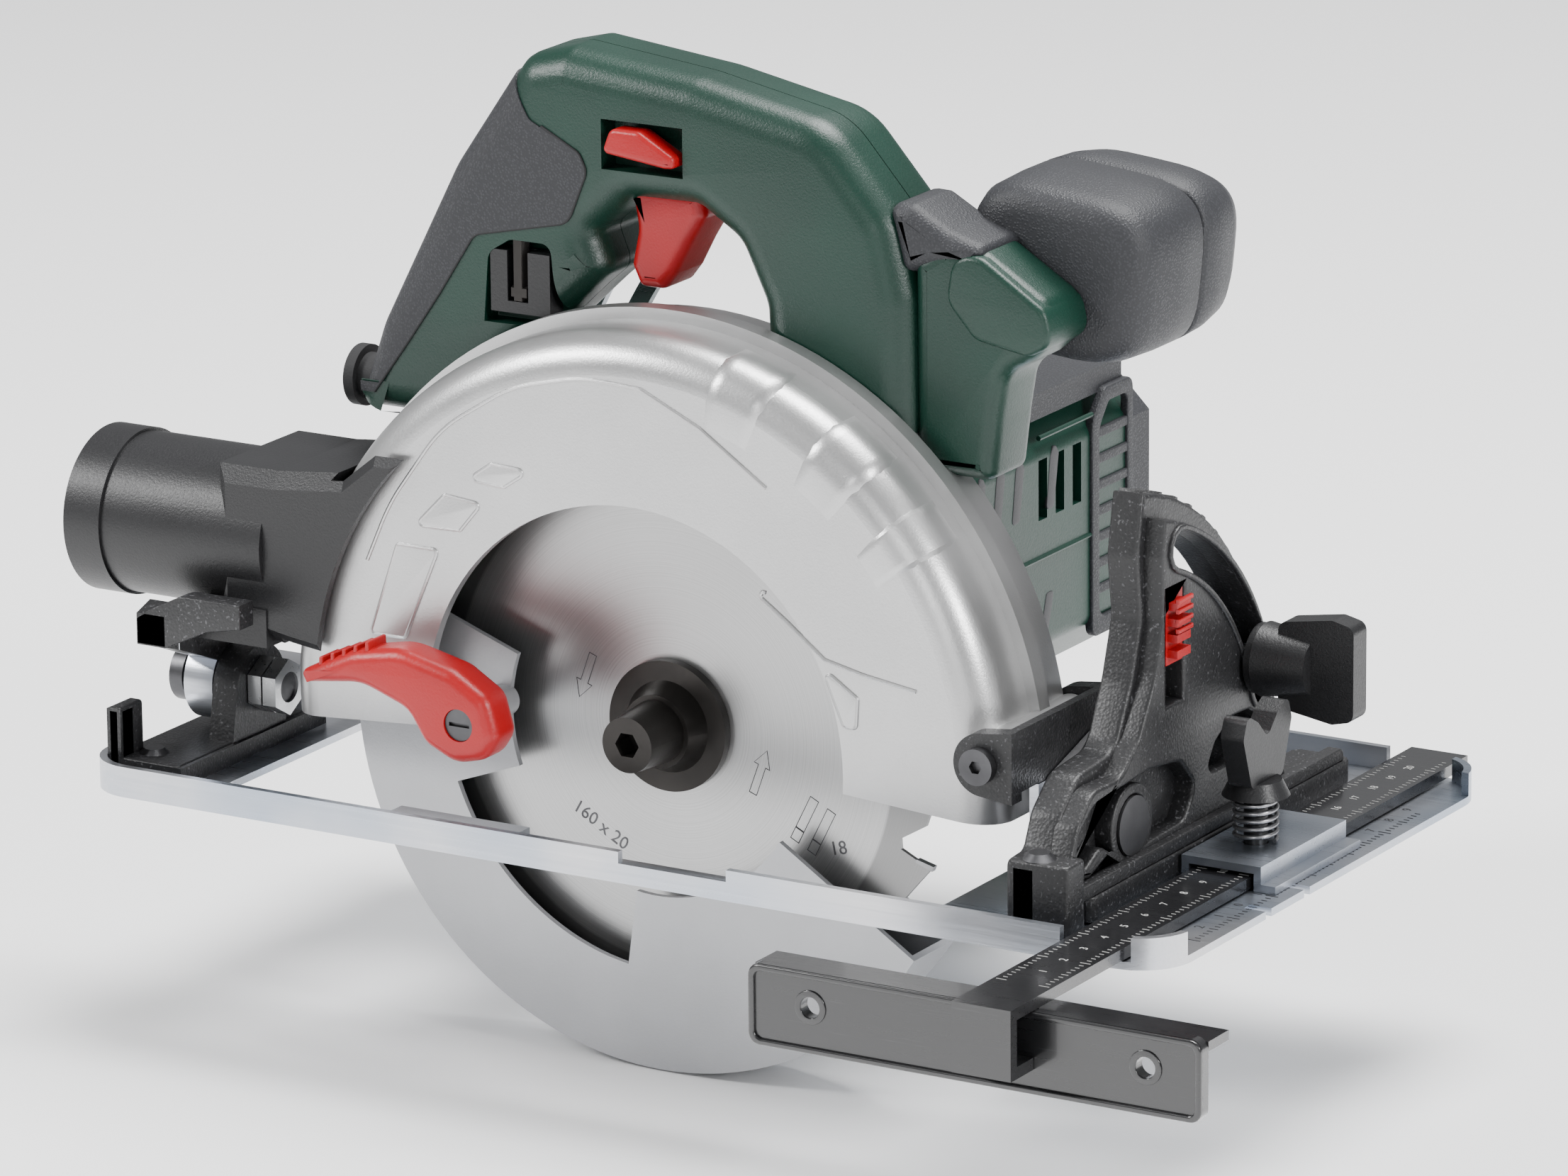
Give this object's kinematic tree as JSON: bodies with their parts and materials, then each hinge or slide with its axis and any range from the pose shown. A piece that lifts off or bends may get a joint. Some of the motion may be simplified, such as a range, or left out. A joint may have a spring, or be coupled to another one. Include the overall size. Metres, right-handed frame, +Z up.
{
  "type": "hand-held circular saw",
  "caption": "Hand-held circular saw with a tilting, swinging saw head on a pressed base plate, sprung lower blade guard and parallel guide",
  "frame": {"origin": "where the blade's mid-plane, the sole of the base plate and the plane through the blade axle meet at full cutting depth and no bevel", "axes": "+X forward in the cutting direction, +Y to the motor side, +Z up out of the sole"},
  "size_m": [0.37, 0.273, 0.2575],
  "materials": {
    "zinc_sheet": "bright zinc-plated pressed steel with a faint blue cast",
    "black_casting": "satin black die casting with a fine grain",
    "dark_steel": "dark phosphated steel",
    "black_oxide": "oil-blackened machined steel",
    "zinc_fastener": "zinc-plated steel",
    "spring_steel": "drawn spring wire",
    "grey_plastic": "matt mid-grey moulded plastic",
    "black_paint": "gloss black paint on steel strip",
    "black_plastic": "spark-textured black moulded plastic",
    "black_rubber": "matt black rubber",
    "red_plastic": "textured signal-red moulded plastic",
    "cast_silver": "blasted and lacquered die-cast aluminium",
    "grey_guard": "tumbled grey die-cast aluminium",
    "green_plastic": "spark-textured dark green glass-filled nylon",
    "grip_rubber": "fine-grained dark grey soft grip",
    "switch_plastic": "black thermoplastic",
    "brass_parts": "pressed brass",
    "copper_parts": "turned copper segments",
    "lamination_steel": "stacked electrical steel with enamelled windings",
    "bearing_steel": "ground bearing steel",
    "blade_steel": "circularly ground saw-blade steel, darker at the rim",
    "scale_print": "light printed ticks and figures",
    "carbide": "brazed tungsten carbide tips"
  },
  "bodies": {
    "base": {"base_plate": "zinc_sheet", "front_bevel_bracket": "black_casting", "rear_bevel_bracket": "black_casting", "bracket_rivets": "dark_steel", "pivot_bolts": "dark_steel", "pivot_lock_nuts": "zinc_fastener", "lip_insert": "grey_plastic", "guide_clamp_saddle": "zinc_sheet", "guide_clamp_spring": "spring_steel"},
    "guide_clamp": {"guide_clamp_screw": "black_plastic"},
    "stop_slider": {"bevel_stop_slider": "red_plastic"},
    "parallel_guide": {"guide_bar": "black_paint", "guide_fence": "black_paint"},
    "tilt_frame": {"tilt_frame": "zinc_sheet", "hinge_bracket": "black_casting", "hinge_pin": "dark_steel", "depth_quadrant": "zinc_sheet", "bevel_clamp_bolt": "zinc_fastener"},
    "bevel_knob": {"bevel_clamp_knob": "black_plastic"},
    "saw_head": {"upper_guard": "cast_silver", "dust_port": "black_plastic", "gear_case": "cast_silver", "motor_housing": "green_plastic", "motor_end_cover": "grip_rubber", "motor_top_pad": "grip_rubber", "handle_shell_right": "green_plastic", "handle_shell_left": "green_plastic", "rear_grip_pad": "grip_rubber", "front_handle_neck": "green_plastic", "neck_pad": "grip_rubber", "front_handle_inner": "grip_rubber", "front_handle_outer": "grip_rubber", "switch_block": "switch_plastic", "key_holder": "black_plastic", "hex_key": "black_oxide", "cable_inlet": "black_rubber", "field_stator": "lamination_steel", "brush_holders": "brass_parts", "spindle_bearings": "bearing_steel", "armature_bearings": "bearing_steel", "housing_screws": "zinc_fastener", "depth_clamp_bolt": "zinc_fastener", "guard_spring": "spring_steel"},
    "depth_lever": {"depth_clamp_lever": "red_plastic"},
    "trigger": {"trigger": "red_plastic"},
    "lock_off": {"lock_off_button": "red_plastic"},
    "spindle_lock": {"spindle_lock_button": "black_plastic"},
    "armature": {"armature": "lamination_steel", "commutator": "copper_parts", "cooling_fan": "switch_plastic", "motor_pinion": "bearing_steel"},
    "blade": {"spindle": "bearing_steel", "drive_gear": "bearing_steel", "saw_blade": "blade_steel", "blade_teeth": "carbide", "clamp_flanges": "black_oxide", "blade_bolt": "black_oxide"},
    "swing_guard": {"lower_guard": "grey_guard", "guard_lever": "red_plastic", "lever_screw": "dark_steel"}
  },
  "joints": [
    {"name": "bevel_tilt", "type": "hinge", "parent": "base", "child": "tilt_frame", "pos_m": [0.1, -0.006, 0.02], "axis": [1, 0, 0], "range_deg": [0, 45]},
    {"name": "depth_swing", "type": "hinge", "parent": "tilt_frame", "child": "saw_head", "pos_m": [0.105, 0, 0.037], "axis": [0, 1, 0], "range_deg": [0, 30]},
    {"name": "blade_spin", "type": "hinge", "parent": "saw_head", "child": "blade", "pos_m": [0, 0, 0.025], "axis": [0, 1, 0], "continuous": true},
    {"name": "armature_spin", "type": "hinge", "parent": "saw_head", "child": "armature", "pos_m": [0.006, 0.08, 0.05133], "axis": [0, 1, 0], "continuous": true},
    {"name": "lower_guard_swing", "type": "hinge", "parent": "saw_head", "child": "swing_guard", "pos_m": [0, 0, 0.025], "axis": [0, 1, 0], "range_deg": [0, 130], "stiffness_Nm_per_rad": 0.12, "springref_deg": -57.3},
    {"name": "trigger_pull", "type": "hinge", "parent": "saw_head", "child": "trigger", "pos_m": [-0.002, 0.0205, 0.157], "axis": [0, 1, 0], "range_deg": [0, 9], "stiffness_Nm_per_rad": 0.4, "springref_deg": -11.46},
    {"name": "lock_off_press", "type": "slide", "parent": "saw_head", "child": "lock_off", "axis": [0, 1, 0], "range_m": [0, 0.0024], "stiffness_N_per_m": 400, "springref_m": -0.002},
    {"name": "spindle_lock_press", "type": "slide", "parent": "saw_head", "child": "spindle_lock", "axis": [-1, 0, 0], "range_m": [0, 0.003], "stiffness_N_per_m": 600, "springref_m": -0.002},
    {"name": "depth_lever_turn", "type": "hinge", "parent": "saw_head", "child": "depth_lever", "pos_m": [-0.06499, 0.05, 0.03848], "axis": [0, 1, 0], "range_deg": [-55, 0]},
    {"name": "bevel_knob_turn", "type": "hinge", "parent": "tilt_frame", "child": "bevel_knob", "pos_m": [0.145, 0.05706, 0.04677], "axis": [1, 0, 0], "range_deg": [0, 180]},
    {"name": "guide_clamp_turn", "type": "hinge", "parent": "base", "child": "guide_clamp", "pos_m": [0.15, 0.029, 0.02], "axis": [0, 0, 1], "range_deg": [0, 270]},
    {"name": "guide_slide", "type": "slide", "parent": "base", "child": "parallel_guide", "axis": [0, 1, 0], "range_m": [-0.07, 0.028]},
    {"name": "bevel_stop_slide", "type": "slide", "parent": "base", "child": "stop_slider", "axis": [0, 0, 1], "range_m": [-0.009, 0]}
  ],
  "couplings": [
    {"joint": "armature_spin", "follows": "blade_spin", "ratio": -4}
  ]
}
